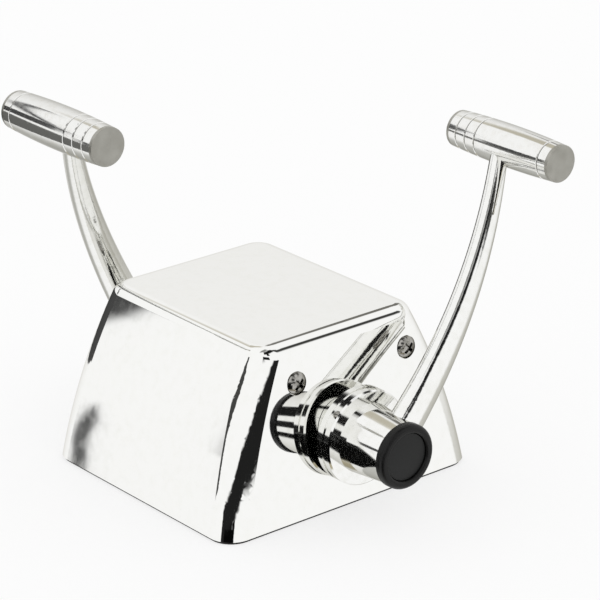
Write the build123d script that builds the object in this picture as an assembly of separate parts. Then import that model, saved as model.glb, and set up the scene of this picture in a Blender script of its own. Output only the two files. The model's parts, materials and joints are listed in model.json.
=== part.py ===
from build123d import *
import os
from math import asin, atan2, cos, degrees, hypot, pi, radians, sin, sqrt

# Twin-lever top-mount engine control.
# Frame: X is the pivot axis with the right-hand lever at +X, +Y is ahead, +Z is up.
# Origin: middle of the mounting face, on the console surface.

os.makedirs("parts", exist_ok=True)

# ---------------------------------------------------------------- driving sizes, mm
# cover
base_width = 146.8
base_length = 161.2
top_width = 126.0
top_length = 99.6
cover_height = 92.2
side_bulge = 0.8
end_bulge = 3.5
cover_wall = 3.0
corner_radius = 12.9
top_edge_radius = 7.5
gasket_thickness = 1.5
gasket_inset = 1.2
gasket_web = 3.0
post_radius = 7.0
post_height = 20.0
post_inset_x = 12.4
post_inset_y = 13.6
mount_thread_core = 2.5
mount_thread_depth = 15.0

# pivot and lever
pivot_y = 0.0
pivot_z = 39.7
lever_length = 174.5
right_lean_angle = 50.5
left_lean_angle = -31.0
shaft_radius = 8.0
shaft_flat = 6.6
shaft_end_stand = 7.0
clip_groove_depth = 1.0
hub_screw_depth = 14.0
collar_radius = 24.9
collar_width = 9.6
collar_groove_width = 1.6
collar_groove_depth = 0.9
collar_edge = 0.8
hub_width = 25.9
hub_root_radius = 18.2
hub_end_radius = 15.9
hub_bore_depth = 13.0
washer_gap = 1.0
washer_thickness = 1.5
cap_head_radius = 5.5
cap_head_height = 3.6
cap_socket_radius = 2.4
cap_socket_depth = 2.4
cap_socket_sides = 6
cap_screw_length = 12.0
arm_root_width = 20.0
arm_root_thickness = 16.0
arm_top_width = 9.6
arm_top_thickness = 8.6
arm_root_slope = 0.079
arm_root_share = 0.635
spigot_radius = 3.5
spigot_length = 7.0
spigot_root = 8.0
arm_stations = (0.05, 0.28, 0.52, 0.77, 1.0)

# grip
grip_gap = 4.2
grip_length = 75.7
grip_end_radius = 9.9
grip_mid_radius = 11.1
grip_joint_share = 0.41
groove_pitch = 7.3
groove_width = 1.2
groove_depth = 0.6
inboard_grooves = 3
outboard_grooves = 1
end_disc_thickness = 1.8
end_spigot_radius = 6.0
end_spigot_length = 6.0

# warm-up button and its bezel
bezel_radius = 16.8
bezel_width = 5.0
bezel_outer_round = 2.2
bezel_inner_round = 1.2
button_radius = 12.1
button_travel = 4.0
button_dome = 0.5
button_wall = 1.5
button_recess = 1.0
button_length = 10.0
button_lip = 0.6
button_collar_width = 1.5
button_face_thickness = 2.0
button_spring_radius = 8.5
button_spring_turns = 3

# bearing boss and bushes
boss_radius = 16.5
flange_gear_gap = 1.0
boss_flange_width = 4.0
bush_wall = 2.0
bush_flange_width = 1.4
bush_flange_overhang = 2.0
collar_gap = 1.7

# frame plates of each side's mechanism
plate_gap = 0.7
plate_spacing = 37.5
plate_thickness = 4.0
plate_foot_radius = 5.6
plate_top_radius = 5.0
pillar_radius = 4.5
pillar_spigot = 3.0
screw_inset_front = 19.7
screw_inset_back = 8.8
screw_drop = 20.5
cover_screw_radius = 3.0
cover_screw_head = 5.7
cover_screw_head_height = 3.4
cover_screw_grip = 8.0
recess_width = 1.7
recess_length = 6.4
recess_depth = 1.9
recess_turn = 45.0
pan_side_share = 0.35
pan_round_share = (0.86, 0.62)
pad_radius = 8.0

# gears, crank and detent
gear_module = 1.5
pinion_teeth = 16
gear_teeth = 24
gear_width = 6.0
gear_setback = 12.5
gear_backlash = 0.35
gear_direction = -5.0
pressure_angle = 20.0
tooth_addendum = 0.95
tooth_dedendum = 1.25
gear_hub_radius = 7.0
pinion_hub_radius = 9.6
stud_radius = 5.0
shift_pin_reach = 12.0
cable_pin_radius = 3.0
cable_pin_length = 10.0
crank_reach = 24.0
crank_setback = 10.0
crank_thickness = 4.0
crank_hub_radius = 11.0
crank_eye_radius = 6.0
disc_radius = 16.0
disc_setback = 17.0
disc_thickness = 4.0
detent_angle = 30.0
detent_direction = 45.0
drag_direction = -45.0
drag_pad_radius = 3.8
drag_pad_length = 2.5
drag_screw_stand = 4.0
drag_slot_width = 1.0
drag_slot_depth = 1.5
ball_radius = 2.9
ball_clearance = 0.15
holder_end_wall = 2.0
spring_turns = 4
notch_depth = 1.6
plunger_radius = 4.5
plunger_start = 24.0
plunger_end = 38.0
spring_wire = 0.8
switch_start = 17.0
switch_length = 20.0
switch_height = 12.0
switch_width = 9.0
roller_radius = 2.5
switch_edge = 1.2
switch_hole_radius = 1.3
switch_hole_inset = 4.5
blade_width = 4.0
blade_thickness = 0.6
terminal_pitch = 3.5
terminal_width = 3.2
terminal_length = 5.0
anchor_width = 12.0
anchor_height = 10.0
anchor_z = 4.0
conduit_radius = 4.5
conduit_slot = 3.0
anchor_edge = 1.5
clip_thickness = 1.2
shaft_clip_overhang = 3.0
stud_clip_overhang = 1.6
clip_mouth = 3.0

# clearances
running = 0.04
fixed = 0.03
rest_gap = 0.3
cut_margin = 1.0
screw_end_room = 2.0
holder_foot_setback = 1.0

# ---------------------------------------------------------------- side of the cover
def bowed_reach(half_base, half_top, low, high, bulge, z):
    """Distance of the bowed side from the middle plane at height z."""
    run, rise = half_top - half_base, high - low
    chord = hypot(run, rise)
    radius = (chord**2 / 4 + bulge**2) / (2 * bulge)
    centre = (half_base + half_top) / 2 - (radius - bulge) * rise / chord
    centre_z = (low + high) / 2 + (radius - bulge) * run / chord
    return centre + sqrt(radius**2 - (z - centre_z) ** 2)


def side_reach(z):
    return bowed_reach(base_width / 2, top_width / 2, gasket_thickness, cover_height, side_bulge, z)


# ---------------------------------------------------------------- derived places
half_turn = 180.0
post_x = base_width / 2 - post_inset_x
post_y = base_length / 2 - post_inset_y
cover_screw_front = screw_inset_front - top_length / 2
cover_screw_back = top_length / 2 - screw_inset_back
cover_screw_z = cover_height - screw_drop

collar_inner_x = side_reach(pivot_z - collar_radius) + collar_gap
collar_outer_x = collar_inner_x + collar_width
hub_end_x = collar_outer_x + hub_width
arm_root_x = collar_outer_x + arm_root_share * hub_width
bore_end_x = collar_outer_x + hub_bore_depth
grip_inner_x = grip_gap / 2
grip_outer_x = grip_inner_x + grip_length
arm_top_x = grip_inner_x + grip_joint_share * grip_length
arm_bow = (arm_root_x - arm_root_slope * lever_length - arm_top_x) / lever_length**2
bezel_inner_radius = button_radius + rest_gap
button_collar_radius = button_radius + button_lip
counterbore_radius = button_collar_radius + rest_gap
washer_radius = counterbore_radius - washer_gap

outer_face_x = side_reach(cover_screw_z + plate_top_radius) - cover_wall - plate_gap
outer_plate_x = outer_face_x - plate_thickness
inner_plate_x = outer_plate_x - plate_spacing
inner_face_x = inner_plate_x + plate_thickness
gear_x = outer_plate_x - gear_setback
crank_x = inner_plate_x + crank_setback
disc_x = inner_plate_x + disc_setback
shaft_inner_end = inner_plate_x - shaft_end_stand
boss_end_x = collar_inner_x - rest_gap
boss_start_x = outer_plate_x - boss_flange_width
bush_radius = shaft_radius + running + bush_wall
crank_hub_start = inner_face_x + bush_flange_width + 2 * rest_gap

pitch_radius_pinion = gear_module * pinion_teeth / 2
pitch_radius_gear = gear_module * gear_teeth / 2
gear_distance = pitch_radius_pinion + pitch_radius_gear
gear_y = pivot_y + gear_distance * cos(radians(gear_direction))
gear_z = pivot_z + gear_distance * sin(radians(gear_direction))
gear_ratio = -pinion_teeth / gear_teeth
boss_flange_radius = gear_distance - gear_hub_radius - flange_gear_gap
cable_pin_x = gear_x - cable_pin_length
cable_mid_x = cable_pin_x + cable_pin_length / 2
throttle_cable_y = pivot_y - crank_reach
shift_cable_y = gear_y + shift_pin_reach
anchor_mid_z = anchor_z + anchor_height / 2


# ---------------------------------------------------------------- helpers
def turned(points, arcs=()):
    """Solid of revolution about X from (x, radius) points; arcs maps a start index to a mid point."""
    edges = []
    for i, start in enumerate(points):
        end = points[(i + 1) % len(points)]
        if i in arcs:
            edges.append(ThreePointArc(start, arcs[i], end))
        else:
            edges.append(Line(start, end))
    return revolve(make_face(edges), Axis.X)


def tube(x_start, x_end, outer, inner=0.0, y=0.0, z=0.0):
    """Round bar or tube along X."""
    place = Pos(x_start, y, z) * Rot(0, 90, 0)
    bar = place * extrude(Circle(outer), x_end - x_start)
    if inner > 0:
        bar -= place * extrude(Circle(inner), x_end - x_start)
    return bar


def block(x_range, y_range, z_range):
    size = [high - low for low, high in (x_range, y_range, z_range)]
    middle = [(high + low) / 2 for low, high in (x_range, y_range, z_range)]
    return Pos(*middle) * Box(*size)


def double_d(x_start, x_end, clearance=0.0):
    """Round bar with two flats, as the shaft's driving part and the holes that fit on it."""
    across = shaft_flat + clearance
    return tube(x_start, x_end, shaft_radius + clearance) & block(
        (x_start, x_end), (-across, across), (-2 * shaft_radius, 2 * shaft_radius)
    )


def radial_bar(x, direction, start, end, radius, inner=0.0):
    """Round bar that points away from the pivot, in the pivot's own frame."""
    place = Pos(x, 0, 0) * Rot(direction, 0, 0) * Pos(0, start, 0) * Rot(-90, 0, 0)
    bar = place * extrude(Circle(radius), end - start)
    if inner > 0:
        bar -= place * extrude(Circle(inner), end - start)
    return bar


def coil(radius, length, turns, wire):
    """Open spring of square wire about Z."""
    path = Helix(pitch=length / turns, height=length, radius=radius)
    section = Plane(origin=path @ 0, x_dir=(1, 0, 0), z_dir=path % 0) * Rectangle(wire, wire)
    return sweep(section, path=path, is_frenet=True)


def bowed_profile(half_base, half_top, low, high, bulge):
    """Trapezium whose two sides bow outwards."""
    run, rise = half_top - half_base, high - low
    chord = hypot(run, rise)
    mid = (half_base + half_top) / 2 + bulge * rise / chord
    mid_z = (low + high) / 2 - bulge * run / chord
    return make_face(
        [
            Line((-half_base, low), (half_base, low)),
            ThreePointArc((half_base, low), (mid, mid_z), (half_top, high)),
            Line((half_top, high), (-half_top, high)),
            ThreePointArc((-half_top, high), (-mid, mid_z), (-half_base, low)),
        ]
    )


# ---------------------------------------------------------------- cover and gasket
def cover_form(inset, foot):
    """Rounded block of the cover, taken in by the inset."""
    ends = bowed_profile(
        base_length / 2 - inset, top_length / 2 - inset, foot, cover_height - inset, end_bulge
    )
    sides = bowed_profile(
        base_width / 2 - inset, top_width / 2 - inset, foot, cover_height - inset, side_bulge
    )
    form = extrude(Plane.YZ * ends, base_width, both=True)
    form &= extrude(Plane.XZ * sides, base_length, both=True)
    tall = [e for e in form.edges() if e.bounding_box().size.Z > cover_height / 2]
    form = fillet(tall, corner_radius - inset)
    rim = form.faces().sort_by(Axis.Z)[-1].edges()
    return fillet(rim, top_edge_radius - inset)


def screw_places():
    return [(cover_screw_front, cover_screw_z), (cover_screw_back, cover_screw_z)]


def screw_seat():
    """X of the spot face under the cover screws' heads."""
    return side_reach(cover_screw_z + cover_screw_head) - rest_gap


def both_sides(solid):
    return [solid, mirror(solid, Plane.YZ)]


def build_cover():
    outside = cover_form(0, gasket_thickness)
    shell = outside - cover_form(cover_wall, gasket_thickness - cover_wall)
    for y, z in screw_places():
        pad = tube(outer_face_x, base_width / 2, pad_radius, 0, y, z) & outside
        for one in both_sides(pad):
            shell += one
    inside_x = outer_face_x - cut_margin
    cuts = both_sides(tube(inside_x, base_width, boss_radius + rest_gap, 0, pivot_y, pivot_z))
    for y, z in screw_places():
        cuts += both_sides(tube(inside_x, base_width, cover_screw_radius + rest_gap, 0, y, z))
        cuts += both_sides(tube(screw_seat(), base_width, cover_screw_head + rest_gap, 0, y, z))
    for cut in cuts:
        shell -= cut
    return shell


def post_places():
    return [(x, y) for x in (-post_x, post_x) for y in (-post_y, post_y)]


def build_corner_posts():
    """Threaded posts brazed into the cover's corners, shaped to its inner wall."""
    room = cover_form(cover_wall, gasket_thickness - cover_wall)
    posts = []
    for x, y in post_places():
        post = Pos(x, y) * extrude(Circle(post_radius), post_height)
        post &= room
        posts.append(post - Pos(x, y) * extrude(Circle(mount_thread_core), mount_thread_depth))
    return Compound(children=posts)


def build_gasket():
    length = base_length - 2 * gasket_inset
    width = base_width - 2 * gasket_inset
    outline = RectangleRounded(width, length, corner_radius - gasket_inset)
    opening = Rectangle(2 * (post_x + post_radius), 2 * (post_y - post_radius - gasket_web))
    opening += Rectangle(2 * (post_x - post_radius - gasket_web), 2 * (post_y + post_radius))
    ring = outline - opening
    for x, y in post_places():
        ring -= Pos(x, y) * Circle(post_radius + rest_gap)
    return extrude(ring, gasket_thickness)


def pan_screw():
    """Cross-recess pan head screw along -X, with the head's seat at X = 0."""
    rise = cover_screw_head_height
    head = turned(
        [(0, 0), (0, cover_screw_head), (rise * pan_side_share, cover_screw_head), (rise, 0)],
        {2: (rise * pan_round_share[0], cover_screw_head * pan_round_share[1])},
    )
    for turn in (0, 90):
        bar = block(
            (rise - recess_depth, rise + cut_margin),
            (-recess_length / 2, recess_length / 2),
            (-recess_width / 2, recess_width / 2),
        )
        head -= Rot(recess_turn + turn, 0, 0) * bar
    reach = screw_seat() - outer_plate_x + cover_screw_grip
    return head + tube(-reach, 0, cover_screw_radius)


def build_cover_screws():
    screws = []
    for y, z in screw_places():
        screws += both_sides(Pos(screw_seat(), y, z) * pan_screw())
    return Compound(children=screws)


# ---------------------------------------------------------------- frame of one side
def plate_outline():
    rings = [Pos(y, z) * Circle(plate_top_radius).edge() for y, z in screw_places()]
    for y in (throttle_cable_y, shift_cable_y):
        rings.append(Pos(y, anchor_mid_z) * Circle(plate_foot_radius).edge())
    return make_hull(rings)


def build_plate(x, pivot_hole, stud_hole, screw_hole):
    plate = Pos(x, 0, 0) * extrude(Plane.YZ * plate_outline(), plate_thickness)
    end = x + plate_thickness
    plate -= tube(x, end, pivot_hole, 0, pivot_y, pivot_z)
    if stud_hole > 0:
        plate -= tube(x, end, stud_hole, 0, gear_y, gear_z)
    for y, z in screw_places():
        plate -= tube(x, end, screw_hole, 0, y, z)
    for y in (throttle_cable_y, shift_cable_y):
        plate -= tube(x, end, pillar_spigot + fixed, 0, y, anchor_mid_z)
    return plate


def build_pillars():
    pillars = []
    for y, z in screw_places():
        post = tube(inner_face_x, outer_plate_x, pillar_radius, 0, y, z)
        post += tube(inner_plate_x, inner_face_x, pillar_spigot, 0, y, z)
        bore_start = outer_plate_x - cover_screw_grip - screw_end_room
        post -= tube(bore_start, outer_plate_x, cover_screw_radius + fixed, 0, y, z)
        pillars += both_sides(post)
    return Compound(children=pillars)


def build_boss():
    boss = tube(boss_start_x, outer_plate_x, boss_flange_radius)
    boss += tube(boss_start_x, boss_end_x, boss_radius)
    return boss - tube(boss_start_x, boss_end_x, bush_radius + fixed)


def build_outer_bush():
    return tube(boss_start_x, boss_end_x, bush_radius, shaft_radius + running)


def build_inner_bush():
    bush = tube(inner_plate_x, inner_face_x, bush_radius)
    flange_end = inner_face_x + bush_flange_width
    bush += tube(inner_face_x, flange_end, bush_radius + bush_flange_overhang)
    return bush - tube(inner_plate_x, flange_end, shaft_radius + running)


def build_gear_stud():
    start = gear_x - 2 * clip_thickness - 2 * rest_gap
    stud = tube(start, outer_face_x, stud_radius)
    groove = start + clip_thickness
    stud -= tube(groove, groove + clip_thickness, 2 * stud_radius, stud_radius - clip_groove_depth)
    return stud


def bracket(direction):
    """Round holder on a foot that stands on the inner plate, pointing away from the pivot."""
    x = disc_x + disc_thickness / 2
    holder = radial_bar(x, direction, plunger_start, plunger_end, plunger_radius)
    foot_reach = (plunger_start + holder_foot_setback, plunger_end - holder_foot_setback)
    foot = block((inner_face_x, x), foot_reach, (-plunger_radius, plunger_radius))
    foot = Rot(direction, 0, 0) * foot
    return holder + foot


def build_detent_body():
    x = disc_x + disc_thickness / 2
    end = plunger_end - holder_end_wall
    bore = ball_radius + ball_clearance
    return bracket(detent_direction) - radial_bar(x, detent_direction, plunger_start, end, bore)


def build_detent_ball():
    x = disc_x + disc_thickness / 2
    place = Rot(detent_direction, 0, 0) * Pos(x, disc_radius + rest_gap + ball_radius, 0)
    return place * Sphere(ball_radius)


def build_detent_spring():
    x = disc_x + disc_thickness / 2
    start = disc_radius + rest_gap + 2 * ball_radius
    place = Rot(detent_direction, 0, 0) * Pos(x, start, 0) * Rot(-90, 0, 0)
    length = plunger_end - holder_end_wall - start
    return place * coil(ball_radius - spring_wire, length - spring_wire, spring_turns, spring_wire)


def build_drag_body():
    x = disc_x + disc_thickness / 2
    return bracket(drag_direction) - radial_bar(
        x, drag_direction, plunger_start, plunger_end, cover_screw_radius + fixed
    )


def build_drag_screw():
    x = disc_x + disc_thickness / 2
    start = disc_radius + rest_gap
    end = plunger_end + drag_screw_stand
    screw = radial_bar(x, drag_direction, start, end, cover_screw_radius)
    screw += radial_bar(x, drag_direction, start, start + drag_pad_length, drag_pad_radius)
    slot = block(
        (x - drag_slot_width / 2, x + drag_slot_width / 2),
        (end - drag_slot_depth, end),
        (-drag_pad_radius, drag_pad_radius),
    )
    return screw - Rot(drag_direction, 0, 0) * slot


def build_neutral_switch():
    start = switch_start
    end = start + switch_length
    top = switch_height / 2
    body = block((inner_face_x, inner_face_x + switch_width), (start, end), (-top, top))
    body = fillet(body.edges().filter_by(Axis.X), switch_edge)
    for y in (start + switch_hole_inset, end - switch_hole_inset):
        body -= tube(inner_face_x, inner_face_x + switch_width, switch_hole_radius, 0, y, -top / 2)
    mid_x = inner_face_x + switch_width / 2
    blade_sides = (mid_x - blade_width / 2, mid_x + blade_width / 2)
    roller_y = crank_hub_radius + rest_gap + roller_radius
    body += block(blade_sides, (roller_y, start + switch_hole_inset), (top, top + blade_thickness))
    body += block(
        blade_sides,
        (roller_y - blade_thickness / 2, roller_y + blade_thickness / 2),
        (0, top + blade_thickness),
    )
    body += tube(blade_sides[0], blade_sides[1], roller_radius, 0, roller_y, 0)
    for z in (-terminal_pitch, 0, terminal_pitch):
        body += block(
            (mid_x - terminal_width / 2, mid_x + terminal_width / 2),
            (end, end + terminal_length),
            (z - blade_thickness / 2, z + blade_thickness / 2),
        )
    return body


def build_cable_anchors():
    """Bars between the plates' feet that hold the two cable conduits."""
    bars = []
    low, high = anchor_z, anchor_z + anchor_height
    half = anchor_width / 2
    for y, mouth in ((throttle_cable_y, -anchor_width), (shift_cable_y, anchor_width)):
        bar = block((inner_face_x, outer_plate_x), (y - half, y + half), (low, high))
        bar = fillet(bar.edges().filter_by(Axis.X), anchor_edge)
        for start, end in ((inner_plate_x, inner_face_x), (outer_plate_x, outer_face_x)):
            bar += tube(start, end, pillar_spigot, 0, y, anchor_mid_z)
        bar -= Pos(cable_mid_x, y, low) * extrude(Circle(conduit_radius), anchor_height)
        sides = (cable_mid_x - conduit_slot / 2, cable_mid_x + conduit_slot / 2)
        bars.append(bar - block(sides, sorted((y, y + mouth)), (low, high)))
    return Compound(children=bars)


# ---------------------------------------------------------------- gears
def involute_flank(base_radius, radius):
    """Angle in radians that an involute has turned through where it reaches the radius."""
    roll = sqrt(max((radius / base_radius) ** 2 - 1, 0))
    return roll - atan2(roll, 1)


def gear_face(teeth):
    pitch = gear_module * teeth / 2
    base = pitch * cos(radians(pressure_angle))
    tip = pitch + tooth_addendum * gear_module
    root = pitch - tooth_dedendum * gear_module
    half_pitch_angle = pi / (2 * teeth) - gear_backlash / 2 / (2 * pitch)
    at_pitch = involute_flank(base, pitch)
    radii = [base, pitch, tip]
    points = []
    for n in range(teeth):
        middle = 2 * pi * n / teeth
        flank = []
        for r in radii:
            half = half_pitch_angle + at_pitch - involute_flank(base, r)
            flank.append((r, half))
        root_half = flank[0][1]
        rising = [(root, root_half)] + flank
        points += [(r * cos(middle - a), r * sin(middle - a)) for r, a in rising]
        points += [(r * cos(middle + a), r * sin(middle + a)) for r, a in reversed(rising)]
    return make_face(Polyline(*points, close=True))


def gear_blank(teeth, first_tooth):
    """Gear on the X axis, with a tooth pointing at the given angle from +Y towards +Z."""
    toothed = Rot(first_tooth, 0, 0) * extrude(Plane.YZ * gear_face(teeth), gear_width)
    return Pos(gear_x, 0, 0) * toothed


def build_pinion():
    hub_start = disc_x + disc_thickness
    pinion = gear_blank(pinion_teeth, gear_direction)
    pinion += tube(hub_start, boss_start_x - rest_gap, pinion_hub_radius)
    return pinion - double_d(hub_start, boss_start_x, fixed)


def build_shift_gear():
    gear = gear_blank(gear_teeth, gear_direction + half_turn + half_turn / gear_teeth)
    gear += tube(gear_x, outer_plate_x - rest_gap, gear_hub_radius)
    gear -= tube(gear_x, outer_plate_x, stud_radius + running)
    gear -= tube(gear_x, gear_x + gear_width, cable_pin_radius + fixed, 0, shift_pin_reach, 0)
    return gear


# ---------------------------------------------------------------- lever
def arm_x(r):
    return arm_root_x - arm_root_slope * r - arm_bow * r**2


def arm_plane(r):
    slope = -arm_root_slope - 2 * arm_bow * r
    return Plane(origin=(arm_x(r), 0, r), x_dir=(0, 1, 0), z_dir=(slope, 0, 1))


def at_grip(solid):
    return Pos(0, 0, lever_length) * solid


def grip_barrel():
    ends = ((grip_inner_x, grip_end_radius), (grip_outer_x, grip_end_radius))
    middle = ((grip_inner_x + grip_outer_x) / 2, grip_mid_radius)
    bar = turned([(grip_inner_x, 0), ends[0], ends[1], (grip_outer_x, 0)], {1: middle})
    return at_grip(bar)


def grip_radius(x):
    half = grip_length / 2
    rise = grip_mid_radius - grip_end_radius
    radius = (half**2 + rise**2) / (2 * rise)
    return grip_mid_radius - radius + sqrt(radius**2 - (x - grip_inner_x - half) ** 2)


def build_grip():
    bar = grip_barrel()
    inner_disc_end = grip_inner_x + end_disc_thickness
    outer_disc_start = grip_outer_x - end_disc_thickness
    bar -= at_grip(tube(grip_inner_x, inner_disc_end, 2 * grip_mid_radius))
    bar -= at_grip(tube(outer_disc_start, grip_outer_x, 2 * grip_mid_radius))
    places = [grip_inner_x + groove_pitch * (i + 1) for i in range(inboard_grooves)]
    places += [grip_outer_x - groove_pitch * (i + 1) for i in range(outboard_grooves)]
    for x in places:
        r = grip_radius(x)
        ring = turned(
            [
                (x - groove_width / 2, r + cut_margin),
                (x - groove_width / 2, r),
                (x - groove_width / 4, r - groove_depth),
                (x + groove_width / 4, r - groove_depth),
                (x + groove_width / 2, r),
                (x + groove_width / 2, r + cut_margin),
            ]
        )
        bar -= at_grip(ring)
    depth = end_disc_thickness + end_spigot_length + rest_gap
    bar -= at_grip(tube(grip_inner_x, grip_inner_x + depth, end_spigot_radius + fixed))
    bar -= at_grip(tube(grip_outer_x - depth, grip_outer_x, end_spigot_radius + fixed))
    return bar - spigot(fixed, rest_gap)


def build_grip_discs():
    whole = grip_barrel()
    shank = end_disc_thickness + end_spigot_length
    discs = []
    for low, high, tail in (
        (grip_inner_x, grip_inner_x + end_disc_thickness, (grip_inner_x, grip_inner_x + shank)),
        (grip_outer_x - end_disc_thickness, grip_outer_x, (grip_outer_x - shank, grip_outer_x)),
    ):
        disc = whole & at_grip(tube(low, high, 2 * grip_mid_radius))
        discs.append(disc + at_grip(tube(*tail, end_spigot_radius)))
    return Compound(children=discs)


def spigot(clearance=0.0, extra=0.0):
    """Round tenon at the top of the arm, or the socket for it in the grip."""
    base = arm_plane(lever_length).offset(-grip_mid_radius - spigot_root)
    return extrude(base * Circle(spigot_radius + clearance), spigot_root + spigot_length + extra)


def build_arm():
    hub = turned(
        [
            (collar_outer_x, 0),
            (collar_outer_x, hub_root_radius),
            (hub_end_x, hub_end_radius),
            (hub_end_x, 0),
        ]
    )
    sections = []
    for share in arm_stations:
        width = arm_root_width + (arm_top_width - arm_root_width) * share
        thickness = arm_root_thickness + (arm_top_thickness - arm_root_thickness) * share
        sections.append(arm_plane(share * lever_length) * Ellipse(width / 2, thickness / 2))
    arm = loft(sections) - grip_barrel()
    lever = hub + arm.solids().sort_by(Axis.Z)[0] + spigot()
    lever -= tube(bore_end_x, hub_end_x + bezel_width, counterbore_radius)
    return lever - double_d(collar_outer_x, bore_end_x, fixed)


def build_collar():
    groove_start = (collar_inner_x + collar_outer_x - collar_groove_width) / 2
    groove_end = groove_start + collar_groove_width
    low = collar_radius - collar_groove_depth
    edge = collar_edge
    disc = turned(
        [
            (collar_inner_x, shaft_radius + fixed),
            (collar_inner_x, collar_radius - edge),
            (collar_inner_x + edge, collar_radius),
            (groove_start, collar_radius),
            (groove_start, low),
            (groove_end, low),
            (groove_end, collar_radius),
            (collar_outer_x - edge, collar_radius),
            (collar_outer_x, collar_radius - edge),
            (collar_outer_x, shaft_radius + fixed),
        ]
    )
    return disc


def build_shaft():
    end = bore_end_x - rest_gap
    shaft = tube(shaft_inner_end, end, shaft_radius)
    for low, high in ((crank_hub_start, boss_start_x), (collar_outer_x, end)):
        shaft -= tube(low, high, 2 * shaft_radius) - double_d(low, high)
    groove = inner_plate_x - rest_gap - clip_thickness
    shaft -= tube(groove, groove + clip_thickness, 2 * shaft_radius, shaft_radius - clip_groove_depth)
    return shaft - tube(end - hub_screw_depth, end, cover_screw_radius + fixed)


def snap_ring(x, radius, overhang):
    ring = tube(x, x + clip_thickness, radius + overhang, radius - clip_groove_depth + fixed)
    gap = (-clip_mouth / 2, clip_mouth / 2)
    return ring - block((x, x + clip_thickness), gap, (0, radius + 2 * overhang))


def build_shaft_clip():
    return snap_ring(inner_plate_x - rest_gap - clip_thickness, shaft_radius, shaft_clip_overhang)


def build_stud_clips():
    return snap_ring(gear_x - clip_thickness - 2 * rest_gap, stud_radius, stud_clip_overhang)


def build_hub_screw():
    washer_end = bore_end_x + washer_thickness
    head_end = washer_end + cap_head_height
    screw = tube(bore_end_x, washer_end, washer_radius)
    screw += tube(washer_end, head_end, cap_head_radius)
    screw += tube(bore_end_x - cap_screw_length, washer_end, cover_screw_radius)
    hexagon = Plane.YZ * RegularPolygon(cap_socket_radius, cap_socket_sides)
    return screw - Pos(head_end - cap_socket_depth, 0, 0) * extrude(hexagon, cap_socket_depth)


def build_crank():
    hub_ring = Circle(crank_hub_radius).edge()
    eye_ring = (Pos(-crank_reach, 0) * Circle(crank_eye_radius)).edge()
    crank = Pos(crank_x, 0, 0) * extrude(Plane.YZ * make_hull([hub_ring, eye_ring]), crank_thickness)
    crank += tube(crank_hub_start, disc_x, crank_hub_radius)
    crank -= tube(crank_x, crank_x + crank_thickness, cable_pin_radius + fixed, 0, -crank_reach, 0)
    return crank - double_d(crank_hub_start, disc_x, fixed)


def build_crank_pin():
    end = crank_x + crank_thickness + cable_pin_length
    return tube(crank_x, end, cable_pin_radius, 0, -crank_reach, 0)


def build_shift_pin():
    return tube(cable_pin_x, gear_x + gear_width, cable_pin_radius, 0, shift_pin_reach, 0)


def build_detent_disc():
    disc = tube(disc_x, disc_x + disc_thickness, disc_radius)
    for turn in (-detent_angle, 0, detent_angle):
        disc -= radial_notch(detent_direction + turn)
    return disc - double_d(disc_x, disc_x + disc_thickness, fixed)


def radial_notch(direction):
    reach = disc_radius - notch_depth + ball_radius
    y = reach * cos(radians(direction))
    z = reach * sin(radians(direction))
    return tube(disc_x, disc_x + disc_thickness, ball_radius, 0, y, z)


def build_bezel():
    start = hub_end_x
    end = hub_end_x + bezel_width
    ring = turned(
        [
            (start, bezel_inner_radius),
            (start, bezel_radius),
            (end, bezel_radius),
            (end, bezel_inner_radius),
        ]
    )
    rim = ring.edges().filter_by(GeomType.CIRCLE).group_by(Axis.X)[-1]
    ring = fillet(rim.sort_by(SortBy.RADIUS)[-1], bezel_outer_round)
    rim = ring.edges().filter_by(GeomType.CIRCLE).group_by(Axis.X)[-1]
    return fillet(rim.sort_by(SortBy.RADIUS)[0], bezel_inner_round)


def button_front():
    return hub_end_x + bezel_width - button_recess


def build_button():
    front = button_front()
    floor = front - button_dome - button_face_thickness
    bore = button_radius - button_wall
    ball = (button_radius**2 + button_dome**2) / (2 * button_dome)
    cup = tube(front - button_length, front, button_radius)
    cup &= Pos(front - ball, 0, 0) * Rot(0, 0, 180) * Sphere(ball)
    cup -= tube(front - button_length, floor, bore)
    collar_end = hub_end_x - rest_gap
    return cup + tube(collar_end - button_collar_width, collar_end, button_collar_radius, bore)


def build_button_spring():
    start = bore_end_x + washer_thickness
    floor = button_front() - button_dome - button_face_thickness
    length = floor - button_travel - rest_gap - start
    place = Pos(start + spring_wire / 2, 0, 0) * Rot(0, 90, 0)
    return place * coil(button_spring_radius, length - spring_wire, button_spring_turns, spring_wire)


# ---------------------------------------------------------------- assembly
def at_pivot(solid):
    return Pos(0, pivot_y, pivot_z) * solid


def leaned(solid, lean):
    return Pos(0, pivot_y, pivot_z) * Rot(-lean, 0, 0) * solid


def at_stud(solid, lean):
    return Pos(0, gear_y, gear_z) * Rot(-lean * gear_ratio, 0, 0) * solid


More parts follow.
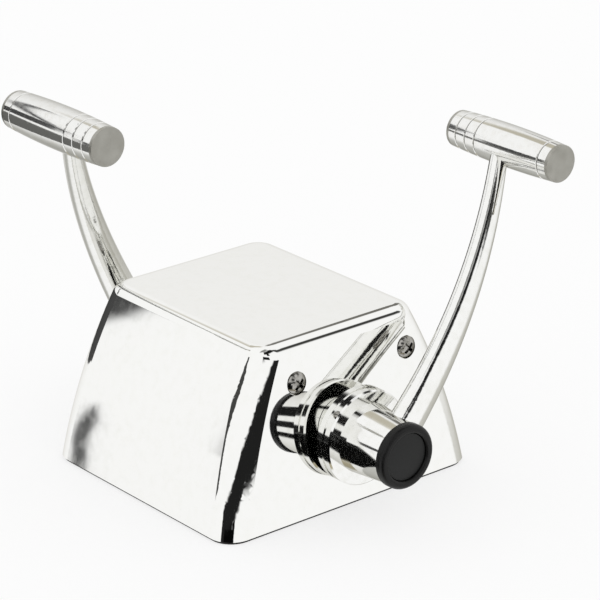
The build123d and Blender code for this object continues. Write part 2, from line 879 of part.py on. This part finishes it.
def one_side(name, lean):
    """Nodes of one lever and its mechanism, modelled for the right-hand side."""
    frame_parts = {
        "outer_plate": build_plate(
            outer_plate_x, boss_radius + fixed, stud_radius + fixed, cover_screw_radius + rest_gap
        ),
        "inner_plate": build_plate(inner_plate_x, bush_radius + fixed, 0, pillar_spigot + fixed),
        "bearing_boss": at_pivot(build_boss()),
        "outer_bush": at_pivot(build_outer_bush()),
        "inner_bush": at_pivot(build_inner_bush()),
        "detent_body": at_pivot(build_detent_body()),
        "drag_body": at_pivot(build_drag_body()),
        "neutral_switch": at_pivot(build_neutral_switch()),
        "cable_anchors": build_cable_anchors(),
    }
    lever_parts = {
        "lever_arm": build_arm(),
        "lever_collar": build_collar(),
        "grip": build_grip(),
        "grip_end_discs": build_grip_discs(),
        "lever_shaft": build_shaft(),
        "shaft_clip": build_shaft_clip(),
        "drive_pinion": build_pinion(),
        "throttle_crank": build_crank(),
        "throttle_pin": build_crank_pin(),
        "detent_disc": build_detent_disc(),
        "hub_screw": build_hub_screw(),
        "button_bezel": build_bezel(),
        "warmup_button": build_button(),
        "button_spring": build_button_spring(),
    }
    gear_parts = {
        "shift_gear": build_shift_gear(),
        "shift_pin": build_shift_pin(),
    }
    nodes = dict(frame_parts)
    nodes.update({key: leaned(solid, lean) for key, solid in lever_parts.items()})
    nodes.update({key: at_stud(solid, lean) for key, solid in gear_parts.items()})
    if name == "left":
        nodes = {key: mirror(solid, Plane.YZ) for key, solid in nodes.items()}
    return {f"{name}_{key}": solid for key, solid in nodes.items()}


def paired(solid):
    return Compound(children=both_sides(solid))


nodes = {
    "cover": build_cover(),
    "corner_posts": build_corner_posts(),
    "base_gasket": build_gasket(),
    "cover_screws": build_cover_screws(),
    "frame_pillars": build_pillars(),
    "detent_balls": paired(at_pivot(build_detent_ball())),
    "detent_springs": paired(at_pivot(build_detent_spring())),
    "drag_screws": paired(at_pivot(build_drag_screw())),
    "gear_studs": paired(Pos(0, gear_y, gear_z) * build_gear_stud()),
    "stud_clips": paired(Pos(0, gear_y, gear_z) * build_stud_clips()),
}
nodes.update(one_side("right", right_lean_angle))
nodes.update(one_side("left", left_lean_angle))

for name, solid in nodes.items():
    solid.label = name
    export_step(solid, f"parts/{name}.step")
print(len(nodes), "nodes written")
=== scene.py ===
import bpy
import json
import math
from mathutils import Matrix, Quaternion, Vector

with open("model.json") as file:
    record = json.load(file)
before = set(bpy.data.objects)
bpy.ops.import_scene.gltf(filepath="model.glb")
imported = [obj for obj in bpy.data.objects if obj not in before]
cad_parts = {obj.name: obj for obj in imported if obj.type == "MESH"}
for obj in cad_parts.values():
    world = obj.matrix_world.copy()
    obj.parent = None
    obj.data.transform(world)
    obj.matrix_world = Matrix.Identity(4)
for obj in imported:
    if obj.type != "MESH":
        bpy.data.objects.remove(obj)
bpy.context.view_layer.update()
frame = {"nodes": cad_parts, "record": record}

scene = bpy.context.scene
nodes = frame["nodes"]
mm = 0.001


# sRGB hex to the linear values Blender works in
def linearColour(hexCode):
    parts = [int(hexCode[i:i + 2], 16) / 255 for i in (0, 2, 4)]
    return tuple(c / 12.92 if c <= 0.04045 else ((c + 0.055) / 1.055) ** 2.4 for c in parts) + (1.0,)


# adds one node, sets its properties and inputs; an input given as (node, output) is linked
def addNode(tree, kind, settings=None, inputs=None):
    node = tree.nodes.new(kind)
    for name, value in (settings or {}).items():
        setattr(node, name, value)
    for name, value in (inputs or {}).items():
        if isinstance(value, tuple) and isinstance(value[0], bpy.types.Node):
            tree.links.new(value[0].outputs[value[1]], node.inputs[name])
        else:
            node.inputs[name].default_value = value
    return node


def newMaterial(name):
    material = bpy.data.materials.new(name)
    material.use_nodes = True
    material.node_tree.nodes.clear()
    return material, material.node_tree


def closeMaterial(tree, shader):
    out = addNode(tree, "ShaderNodeOutputMaterial")
    tree.links.new(shader.outputs[0], out.inputs["Surface"])


# chrome plate over castings; what the eye reads is what it mirrors, how much that wavers, and a
# grey rim where the surface turns away. waveMm is the length of the casting's ripples and hazeMm
# the size of the patches that the buffing wheel left, both in real millimetres
polishedChrome = {  # cover: buffed to a full mirror
    "name": "polishedChromePlate", "colour": "f7f7f5", "hazeColour": "f5f5f2", "rimColour": "e6e5e2",
    "roughness": 0.025, "hazeRoughness": 0.04, "waveMm": 22.0, "waveDepthMm": 0.003, "hazeMm": 5.0}
buffedChrome = {  # arms, hubs, collars and bosses: buffed by hand, so close reflections blur
    "name": "buffedChromePlate", "colour": "f6f6f4", "hazeColour": "f0f0ec", "rimColour": "d0cfcb",
    "roughness": 0.075, "hazeRoughness": 0.1, "waveMm": 18.0, "waveDepthMm": 0.004, "hazeMm": 4.0}
screwChrome = {  # screw heads: thin dark chrome on pressed steel, mottled; their cross is painted nearly black as shade
    "name": "darkChromedSteel", "colour": "aeaca7", "hazeColour": "7d7b76", "rimColour": "8a8883",
    "roughness": 0.14, "hazeRoughness": 0.2, "waveMm": 3.0, "waveDepthMm": 0.006, "hazeMm": 2.0}
handledChrome = {  # grips: turned, plated, then dulled a shade by palms
    "name": "handledChromePlate", "colour": "f3f3f1", "hazeColour": "eeede9", "rimColour": "c4c3bf",
    "roughness": 0.09, "hazeRoughness": 0.13, "waveMm": 14.0, "waveDepthMm": 0.012, "hazeMm": 3.5}
# painted shade in the turned grooves of the grips and in the depth of the screws' cross: the colour
# darkens where little light reaches;
# clear and full are how open to the light a spot is where the colour starts and where it is whole
paintedGrooveShade = {"colour": "4a4844", "reachMm": 0.9, "clear": 0.86, "full": 0.5}
recessShade = {"colour": "141311", "reachMm": 1.6, "clear": 0.85, "full": 0.45}
chromeSkin = {"waveDetail": 1.0, "hazeDetail": 4.0, "hazeFrom": 0.45, "hazeTo": 0.75,
              "waveStrength": 0.5, "recessSamples": 8}


def makeChrome(s, recess=None):
    material, tree = newMaterial(s["name"])
    place = addNode(tree, "ShaderNodeTexCoord")
    wave = addNode(tree, "ShaderNodeTexNoise", None,
                   {"Vector": (place, "Object"), "Scale": 1 / (s["waveMm"] * mm),
                    "Detail": chromeSkin["waveDetail"]})
    haze = addNode(tree, "ShaderNodeTexNoise", None,
                   {"Vector": (place, "Object"), "Scale": 1 / (s["hazeMm"] * mm),
                    "Detail": chromeSkin["hazeDetail"]})
    share = addNode(tree, "ShaderNodeMapRange", None,
                    {"Value": (haze, "Fac"), "From Min": chromeSkin["hazeFrom"],
                     "From Max": chromeSkin["hazeTo"]})
    rough = addNode(tree, "ShaderNodeMapRange", None,
                    {"Value": (share, "Result"), "To Min": s["roughness"],
                     "To Max": s["hazeRoughness"]})
    tint = addNode(tree, "ShaderNodeMix", {"data_type": "RGBA"},
                   {0: (share, "Result"), 6: linearColour(s["colour"]),
                    7: linearColour(s["hazeColour"])})
    bump = addNode(tree, "ShaderNodeBump", None,
                   {"Height": (wave, "Fac"), "Strength": chromeSkin["waveStrength"],
                    "Distance": s["waveDepthMm"] * mm})
    # painted shade: where ambient occlusion finds the spot closed in, the colour is mixed towards the
    # recess colour
    if recess:
        shelter = addNode(tree, "ShaderNodeAmbientOcclusion",
                          {"samples": chromeSkin["recessSamples"], "only_local": True},
                          {"Distance": recess["reachMm"] * mm})
        held = addNode(tree, "ShaderNodeMapRange", None,
                       {"Value": (shelter, "AO"), "From Min": recess["full"],
                        "From Max": recess["clear"], "To Min": 1.0, "To Max": 0.0})
        tint = addNode(tree, "ShaderNodeMix", {"data_type": "RGBA"},
                       {0: (held, "Result"), 6: (tint, 2), 7: linearColour(recess["colour"])})
    shader = addNode(tree, "ShaderNodeBsdfPrincipled", None,
                     {"Base Color": (tint, 2), "Metallic": 1.0,
                      "Specular Tint": linearColour(s["rimColour"]),
                      "Roughness": (rough, "Result"), "Normal": (bump, "Normal")})
    closeMaterial(tree, shader)
    return material


# metals that are worked but not plated to a mirror: the grain is what the eye reads, with darker
# and brighter patches where the tool or the bath took unevenly. Their real grain is 0.05 to 0.2 mm;
# grainMm draws it coarser so that it shows
satinAluminium = {  # grip discs: faced, bead-blasted and anodised, an even soft sheen
    "name": "satinAnodisedAluminium", "colour": "b9b8b1", "patchColour": "a19f97",
    "roughness": 0.34, "patchRoughness": 0.44, "grainMm": 0.5, "grainDepthMm": 0.01,
    "patchMm": 7.0, "stretch": (1.0, 1.0, 1.0)}
zincSteel = {  # plates, pillars and cranks: zinc plated, blue-white with yellowish patches
    "name": "zincPlatedPressedSteel", "colour": "c4c6c8", "patchColour": "b3ae9c",
    "roughness": 0.28, "patchRoughness": 0.42, "grainMm": 0.8, "grainDepthMm": 0.01,
    "patchMm": 12.0, "stretch": (1.0, 1.0, 1.0)}
hardenedSteel = {  # shafts, gears, pins and springs: ground, grey, the lines drawn out along the axis
    "name": "groundHardenedSteel", "colour": "8f9092", "patchColour": "77766f",
    "roughness": 0.24, "patchRoughness": 0.38, "grainMm": 0.5, "grainDepthMm": 0.012,
    "patchMm": 6.0, "stretch": (0.2, 1.0, 1.0)}
sinteredBronze = {  # bushes: pressed powder, oiled, so dull and darker where the oil sits
    "name": "sinteredOiledBronze", "colour": "9c7a45", "patchColour": "7b5d34",
    "roughness": 0.42, "patchRoughness": 0.55, "grainMm": 0.6, "grainDepthMm": 0.03,
    "patchMm": 4.0, "stretch": (1.0, 1.0, 1.0)}
castAluminium = {  # cable anchors: cast and tumbled, a dull skin with soft pits
    "name": "tumbledCastAluminium", "colour": "a3a5a6", "patchColour": "8b8c8b",
    "roughness": 0.45, "patchRoughness": 0.6, "grainMm": 1.2, "grainDepthMm": 0.05,
    "patchMm": 9.0, "stretch": (1.0, 1.0, 1.0)}
workedSkin = {"patchDetail": 3.0, "grainDetail": 2.0, "patchFrom": 0.3, "patchTo": 0.7,
              "grainStrength": 0.6}


def makeWorkedMetal(s):
    material, tree = newMaterial(s["name"])
    place = addNode(tree, "ShaderNodeTexCoord")
    along = addNode(tree, "ShaderNodeMapping", None,
                    {"Vector": (place, "Object"), "Scale": s["stretch"]})
    patch = addNode(tree, "ShaderNodeTexNoise", None,
                    {"Vector": (place, "Object"), "Scale": 1 / (s["patchMm"] * mm),
                     "Detail": workedSkin["patchDetail"]})
    grain = addNode(tree, "ShaderNodeTexNoise", None,
                    {"Vector": (along, "Vector"), "Scale": 1 / (s["grainMm"] * mm),
                     "Detail": workedSkin["grainDetail"]})
    tint = addNode(tree, "ShaderNodeMix", {"data_type": "RGBA"},
                   {0: (patch, "Fac"), 6: linearColour(s["colour"]), 7: linearColour(s["patchColour"])})
    rough = addNode(tree, "ShaderNodeMapRange", None,
                    {"Value": (patch, "Fac"), "From Min": workedSkin["patchFrom"],
                     "From Max": workedSkin["patchTo"], "To Min": s["roughness"],
                     "To Max": s["patchRoughness"]})
    bump = addNode(tree, "ShaderNodeBump", None,
                   {"Height": (grain, "Fac"), "Strength": workedSkin["grainStrength"],
                    "Distance": s["grainDepthMm"] * mm})
    shader = addNode(tree, "ShaderNodeBsdfPrincipled", None,
                     {"Base Color": (tint, 2), "Metallic": 1.0,
                      "Roughness": (rough, "Result"), "Normal": (bump, "Normal")})
    closeMaterial(tree, shader)
    return material


# moulded parts: a fine spark-eroded skin from the mould, scuffed a little paler where fingers rub.
# That skin is really about 0.1 mm; skinMm draws it coarser so that it shows
bezelPlastic = {  # button bezel and switches: glass-filled nylon, a faint sheen on rounded lips
    "name": "mouldedBlackNylon", "colour": "060606", "scuffColour": "0e0e0e",
    "ior": 1.53, "gloss": 0.25, "roughness": 0.34, "scuffRoughness": 0.46,
    "skinMm": 0.45, "skinDepthMm": 0.02, "scuffMm": 5.0}
buttonPlastic = {  # button: ABS, flatter and a shade paler than the bezel
    "name": "mouldedButtonAbs", "colour": "0e0f0f", "scuffColour": "151616",
    "ior": 1.53, "gloss": 0.3, "roughness": 0.42, "scuffRoughness": 0.52,
    "skinMm": 0.5, "skinDepthMm": 0.02, "scuffMm": 6.0}
gasketRubber = {  # base gasket: matt, with a greyish bloom
    "name": "mouldedNeopreneRubber", "colour": "1c1c1b", "scuffColour": "292826",
    "ior": 1.5, "gloss": 0.5, "roughness": 0.68, "scuffRoughness": 0.82,
    "skinMm": 0.8, "skinDepthMm": 0.05, "scuffMm": 9.0}
mouldedSkin = {"scuffDetail": 5.0, "scuffFrom": 0.4, "scuffTo": 0.72, "skinStrength": 0.5}


def makeMouldedSkin(s):
    material, tree = newMaterial(s["name"])
    place = addNode(tree, "ShaderNodeTexCoord")
    skin = addNode(tree, "ShaderNodeTexVoronoi", None,
                   {"Vector": (place, "Object"), "Scale": 1 / (s["skinMm"] * mm)})
    scuff = addNode(tree, "ShaderNodeTexNoise", None,
                    {"Vector": (place, "Object"), "Scale": 1 / (s["scuffMm"] * mm),
                     "Detail": mouldedSkin["scuffDetail"]})
    share = addNode(tree, "ShaderNodeMapRange", None,
                    {"Value": (scuff, "Fac"), "From Min": mouldedSkin["scuffFrom"],
                     "From Max": mouldedSkin["scuffTo"]})
    tint = addNode(tree, "ShaderNodeMix", {"data_type": "RGBA"},
                   {0: (share, "Result"), 6: linearColour(s["colour"]),
                    7: linearColour(s["scuffColour"])})
    rough = addNode(tree, "ShaderNodeMapRange", None,
                    {"Value": (share, "Result"), "To Min": s["roughness"],
                     "To Max": s["scuffRoughness"]})
    bump = addNode(tree, "ShaderNodeBump", None,
                   {"Height": (skin, "Distance"), "Strength": mouldedSkin["skinStrength"],
                    "Distance": s["skinDepthMm"] * mm})
    shader = addNode(tree, "ShaderNodeBsdfPrincipled", None,
                     {"Base Color": (tint, 2), "IOR": s["ior"], "Specular IOR Level": s["gloss"],
                      "Roughness": (rough, "Result"), "Normal": (bump, "Normal")})
    closeMaterial(tree, shader)
    return material


finishes = {"polished_chrome": makeChrome(polishedChrome),
            "satin_aluminium": makeWorkedMetal(satinAluminium),
            "zinc_steel": makeWorkedMetal(zincSteel),
            "hardened_steel": makeWorkedMetal(hardenedSteel),
            "stainless_screws": makeChrome(screwChrome, recessShade),
            "bronze": makeWorkedMetal(sinteredBronze),
            "cast_aluminium": makeWorkedMetal(castAluminium),
            "black_plastic": makeMouldedSkin(bezelPlastic),
            "button_plastic": makeMouldedSkin(buttonPlastic),
            "black_rubber": makeMouldedSkin(gasketRubber)}
print("finishes made:", len(finishes))

# chromed pieces that are finished another way than the cover, by the end of their names
buffedFinish = makeChrome(buffedChrome)
ownFinishes = {"_grip": makeChrome(handledChrome, paintedGrooveShade), "_lever_arm": buffedFinish,
               "_lever_collar": buffedFinish, "_bearing_boss": buffedFinish}

for part in frame["record"]["subparts"]:
    finish = finishes[part["material_slot"]]
    for ending, ownFinish in ownFinishes.items():
        if part["node"].endswith(ending):
            finish = ownFinish
    obj = nodes[part["node"]]
    obj.data.materials.clear()
    obj.data.materials.append(finish)

# a long lens, low over the near corner: angles in degrees, offsets and distance in mm
cameraPlace = {"focalPx": 3000.0, "imagePx": 600, "sensorMm": 36.0,
               "elevation": 21.768, "azimuth": 50.665, "roll": -0.487,
               "offsetRight": 20.451, "offsetUp": 81.328, "distance": 1556.407,
               "clipNearM": 0.05, "clipFarM": 20}


def addCamera():
    c = cameraPlace
    e, a, roll = (math.radians(c[k]) for k in ("elevation", "azimuth", "roll"))
    back = Vector((math.cos(e) * math.sin(a), -math.cos(e) * math.cos(a), math.sin(e)))
    right = Vector((math.cos(a), math.sin(a), 0))
    up = Vector((-math.sin(e) * math.sin(a), math.sin(e) * math.cos(a), math.cos(e)))
    data = bpy.data.cameras.new("camera")
    data.sensor_width = c["sensorMm"]
    data.lens = c["focalPx"] / c["imagePx"] * data.sensor_width
    data.clip_start, data.clip_end = c["clipNearM"], c["clipFarM"]
    camera = bpy.data.objects.new("camera", data)
    scene.collection.objects.link(camera)
    camera.location = (right * c["offsetRight"] + up * c["offsetUp"] + back * c["distance"]) * mm
    camera.rotation_mode = "QUATERNION"
    facing = Matrix((right, up, back)).transposed().to_quaternion()
    camera.rotation_quaternion = facing @ Quaternion((0, 0, 1), roll)
    scene.camera = camera


addCamera()
print("camera placed")

# what the mirrors see: a white tent with dark gaps and a few grey flags in it
# degrees; azimuth from +Y towards +X; tilt is rise per degree of azimuth
tentWhite = "ffffff"
tentGaps = {
    # the slit for the lens and the dark foot under it: black bands on hubs, collars and near corner
    "lensGap": {"azimuth": 82, "halfWidth": 26, "elevation": -2.5, "halfHeight": 6,
                "tilt": 0.25, "soft": 2, "colour": "202020"},
    "lensGapMiddle": {"azimuth": 119, "halfWidth": 17, "elevation": 2.8, "halfHeight": 6.2,
                      "tilt": 0, "soft": 2, "colour": "202020"},
    "lensGapFar": {"azimuth": 155, "halfWidth": 21, "elevation": -2.5, "halfHeight": 7,
                   "tilt": -0.2, "soft": 2, "colour": "202020"},
    "lensFoot": {"azimuth": 143, "halfWidth": 21, "elevation": -26, "halfHeight": 23,
                 "tilt": 0, "soft": 2, "colour": "080808"},
    "lensFootNear": {"azimuth": 117, "halfWidth": 7, "elevation": -31, "halfHeight": 17,
                     "tilt": 0, "soft": 2, "colour": "0c0c0c"},
    # varnished table edge low in front: khaki under the hub
    "warmTable": {"azimuth": 122, "halfWidth": 50, "elevation": -54, "halfHeight": 6,
                  "tilt": 0, "soft": 6, "colour": "b3ab93"},
    # flags on the right: the near corner's dark band and the lines down the arms
    "cornerFlag": {"azimuth": 108, "halfWidth": 15, "elevation": 26, "halfHeight": 9,
                   "tilt": 0.3, "soft": 2, "colour": "1a1a1a"},
    "rightFlag": {"azimuth": 68, "halfWidth": 44, "elevation": 65, "halfHeight": 10,
                  "tilt": 0, "soft": 7, "colour": "1a1a1a"},
    "rightFlagNear": {"azimuth": 33, "halfWidth": 9, "elevation": 49, "halfHeight": 13,
                      "tilt": 0, "soft": 8, "colour": "3c3c3a"},
    "rightFlagFar": {"azimuth": 91, "halfWidth": 7, "elevation": 52, "halfHeight": 11,
                     "tilt": 0, "soft": 4, "colour": "202020"},
    # roof: the greys on the top face and the backs of the arms
    "roofGrey": {"azimuth": 68, "halfWidth": 90, "elevation": 88, "halfHeight": 12,
                 "tilt": 0, "soft": 8, "colour": "8c8c8a"},
    "backFlag": {"azimuth": -40, "halfWidth": 8, "elevation": 34, "halfHeight": 8,
                 "tilt": 0, "soft": 4, "colour": "76746f"},
    "warmRoof": {"azimuth": -68, "halfWidth": 16, "elevation": 48, "halfHeight": 8,
                 "tilt": 0, "soft": 8, "colour": "c2bdae"},
    # seams of the tent's walls: the dark lines along the cover's edges
    "leftSeam": {"azimuth": -98, "halfWidth": 32.2, "elevation": 0, "halfHeight": 7,
                 "tilt": -0.3, "soft": 0.4, "colour": "474747"},
    "leftWedge": {"azimuth": -130.8, "halfWidth": 0.6, "elevation": -8.3, "halfHeight": 1.2,
                  "tilt": -7.7, "soft": 0.2, "colour": "404040"},
    "topSeam": {"azimuth": -110, "halfWidth": 17, "elevation": 27, "halfHeight": 1.9,
                "tilt": 0.63, "soft": 1.5, "colour": "222222"},
    "frontSeam": {"azimuth": -152.7, "halfWidth": 18.6, "elevation": 13.2, "halfHeight": 3.4,
                  "tilt": -0.6, "soft": 0.8, "colour": "444443"},
    "frontSeamFoot": {"azimuth": -139.7, "halfWidth": 5.3, "elevation": -1.2, "halfHeight": 4.4,
                      "tilt": -0.5, "soft": 0.8, "colour": "484847"},
    "underSeam": {"azimuth": 10, "halfWidth": 36, "elevation": -35, "halfHeight": 3.5,
                  "tilt": 0.23, "soft": 2, "colour": "5a5a55"},
    # soft greys low down, so that the white faces aren't quite even
    "sideGrey": {"azimuth": 0, "halfWidth": 32, "elevation": -24, "halfHeight": 12,
                 "tilt": 0, "soft": 14, "colour": "cdccc6"},
    "footGrey": {"azimuth": -95, "halfWidth": 40, "elevation": -46, "halfHeight": 12,
                 "tilt": 0, "soft": 14, "colour": "c4c4c0"},
}


def addTent():
    world = bpy.data.worlds.new("studioTent")
    scene.world = world
    world.use_nodes = True
    tree = world.node_tree
    tree.nodes.clear()
    ray = addNode(tree, "ShaderNodeTexCoord")
    split = addNode(tree, "ShaderNodeSeparateXYZ", None, {0: (ray, "Generated")})
    rise = addNode(tree, "ShaderNodeMath", {"operation": "ARCSINE"}, {0: (split, "Z")})
    rise = addNode(tree, "ShaderNodeMath", {"operation": "DEGREES"}, {0: (rise, 0)})
    colour = addNode(tree, "ShaderNodeRGB")
    colour.outputs[0].default_value = linearColour(tentWhite)
    last = (colour, 0)
    for name, gap in tentGaps.items():
        turn = math.radians(gap["azimuth"])
        acrossX = addNode(tree, "ShaderNodeMath", {"operation": "MULTIPLY"},
                          {0: (split, "X"), 1: math.cos(turn)})
        across = addNode(tree, "ShaderNodeMath", {"operation": "MULTIPLY_ADD"},
                         {0: (split, "Y"), 1: -math.sin(turn), 2: (acrossX, 0)})
        aheadX = addNode(tree, "ShaderNodeMath", {"operation": "MULTIPLY"},
                         {0: (split, "X"), 1: math.sin(turn)})
        ahead = addNode(tree, "ShaderNodeMath", {"operation": "MULTIPLY_ADD"},
                        {0: (split, "Y"), 1: math.cos(turn), 2: (aheadX, 0)})
        side = addNode(tree, "ShaderNodeMath", {"operation": "ARCTAN2"},
                       {0: (across, 0), 1: (ahead, 0)})
        side = addNode(tree, "ShaderNodeMath", {"operation": "DEGREES"}, {0: (side, 0)})
        above = addNode(tree, "ShaderNodeMath", {"operation": "MULTIPLY_ADD"},
                        {0: (side, 0), 1: -gap["tilt"], 2: (rise, 0)})
        above = addNode(tree, "ShaderNodeMath", {"operation": "SUBTRACT"},
                        {0: (above, 0), 1: gap["elevation"]})
        shares = []
        for value, half in ((side, gap["halfWidth"]), (above, gap["halfHeight"])):
            size = addNode(tree, "ShaderNodeMath", {"operation": "ABSOLUTE"}, {0: (value, 0)})
            shares.append(addNode(tree, "ShaderNodeMapRange", {"interpolation_type": "SMOOTHSTEP"},
                                  {"Value": (size, 0), "From Min": half - gap["soft"] / 2,
                                   "From Max": half + gap["soft"] / 2, "To Min": 1.0, "To Max": 0.0}))
        both = addNode(tree, "ShaderNodeMath", {"operation": "MULTIPLY"},
                       {0: (shares[0], "Result"), 1: (shares[1], "Result")})
        last = (addNode(tree, "ShaderNodeMix", {"data_type": "RGBA", "label": name},
                        {0: (both, 0), 6: last, 7: linearColour(gap["colour"])}), 2)
    path = addNode(tree, "ShaderNodeLightPath")
    seen = addNode(tree, "ShaderNodeMix", {"data_type": "RGBA"},
                   {0: (path, "Is Glossy Ray"), 6: linearColour(tentWhite), 7: last})
    shell = addNode(tree, "ShaderNodeBackground", None, {"Color": (seen, 2), "Strength": 1.0})
    out = addNode(tree, "ShaderNodeOutputWorld")
    tree.links.new(shell.outputs[0], out.inputs["Surface"])


addTent()

# white table: the eye sees it almost shadowless, as a lit tent leaves it
tableTop = {"sizeM": 6.0, "colour": "fdfdfd", "shadowShare": 0.3}


def addTable():
    s = tableTop
    bpy.ops.mesh.primitive_plane_add(size=s["sizeM"])
    floor = bpy.context.object
    floor.name = "floor"
    floor.visible_glossy = False
    material, tree = newMaterial("matWhiteTable")
    path = addNode(tree, "ShaderNodeLightPath")
    lit = addNode(tree, "ShaderNodeBsdfDiffuse", None, {"Color": linearColour(s["colour"])})
    clean = addNode(tree, "ShaderNodeEmission", None,
                    {"Color": linearColour(s["colour"]), "Strength": 1.0})
    share = addNode(tree, "ShaderNodeMath", {"operation": "MULTIPLY"},
                    {0: (path, "Is Camera Ray"), 1: 1 - s["shadowShare"]})
    shader = addNode(tree, "ShaderNodeMixShader", None, {0: (share, 0), 1: (lit, 0), 2: (clean, 0)})
    closeMaterial(tree, shader)
    floor.data.materials.append(material)


# a grey flag level with the knobs, left of the lens: it lays the dark band along the grips' undersides
gripFlag = {"heightMm": 100.0, "nearMm": 250.0, "farMm": 1300.0, "fromAzimuth": -170, "toAzimuth": -104,
            "steps": 12, "colour": "6a6a68"}


def addGripFlag():
    s = gripFlag
    span = s["toAzimuth"] - s["fromAzimuth"]
    turns = [math.radians(s["fromAzimuth"] + span * i / s["steps"]) for i in range(s["steps"] + 1)]
    ring = [(s["nearMm"], t) for t in turns] + [(s["farMm"], t) for t in reversed(turns)]
    mesh = bpy.data.meshes.new("gripFlag")
    corners = [(r * mm * math.sin(t), r * mm * math.cos(t), s["heightMm"] * mm) for r, t in ring]
    mesh.from_pydata(corners, [], [list(range(len(corners)))])
    flag = bpy.data.objects.new("gripFlag", mesh)
    scene.collection.objects.link(flag)
    material, tree = newMaterial("greyFlockedFlag")
    side = addNode(tree, "ShaderNodeNewGeometry")
    face = addNode(tree, "ShaderNodeEmission", None,
                   {"Color": linearColour(s["colour"]), "Strength": 1.0})
    clear = addNode(tree, "ShaderNodeBsdfTransparent")
    upward = addNode(tree, "ShaderNodeSeparateXYZ", None, {0: (side, "True Normal")})
    above = addNode(tree, "ShaderNodeMath", {"operation": "GREATER_THAN"}, {0: (upward, "Z"), 1: 0.0})
    shader = addNode(tree, "ShaderNodeMixShader", None, {0: (above, 0), 1: (clear, 0), 2: (face, 0)})
    closeMaterial(tree, shader)
    mesh.materials.append(material)
    flag.visible_camera = False
    flag.visible_diffuse = False
    flag.visible_shadow = False
    flag.visible_transmission = False


addGripFlag()
addTable()
print("studio set up")
scene.view_settings.view_transform = "Standard"
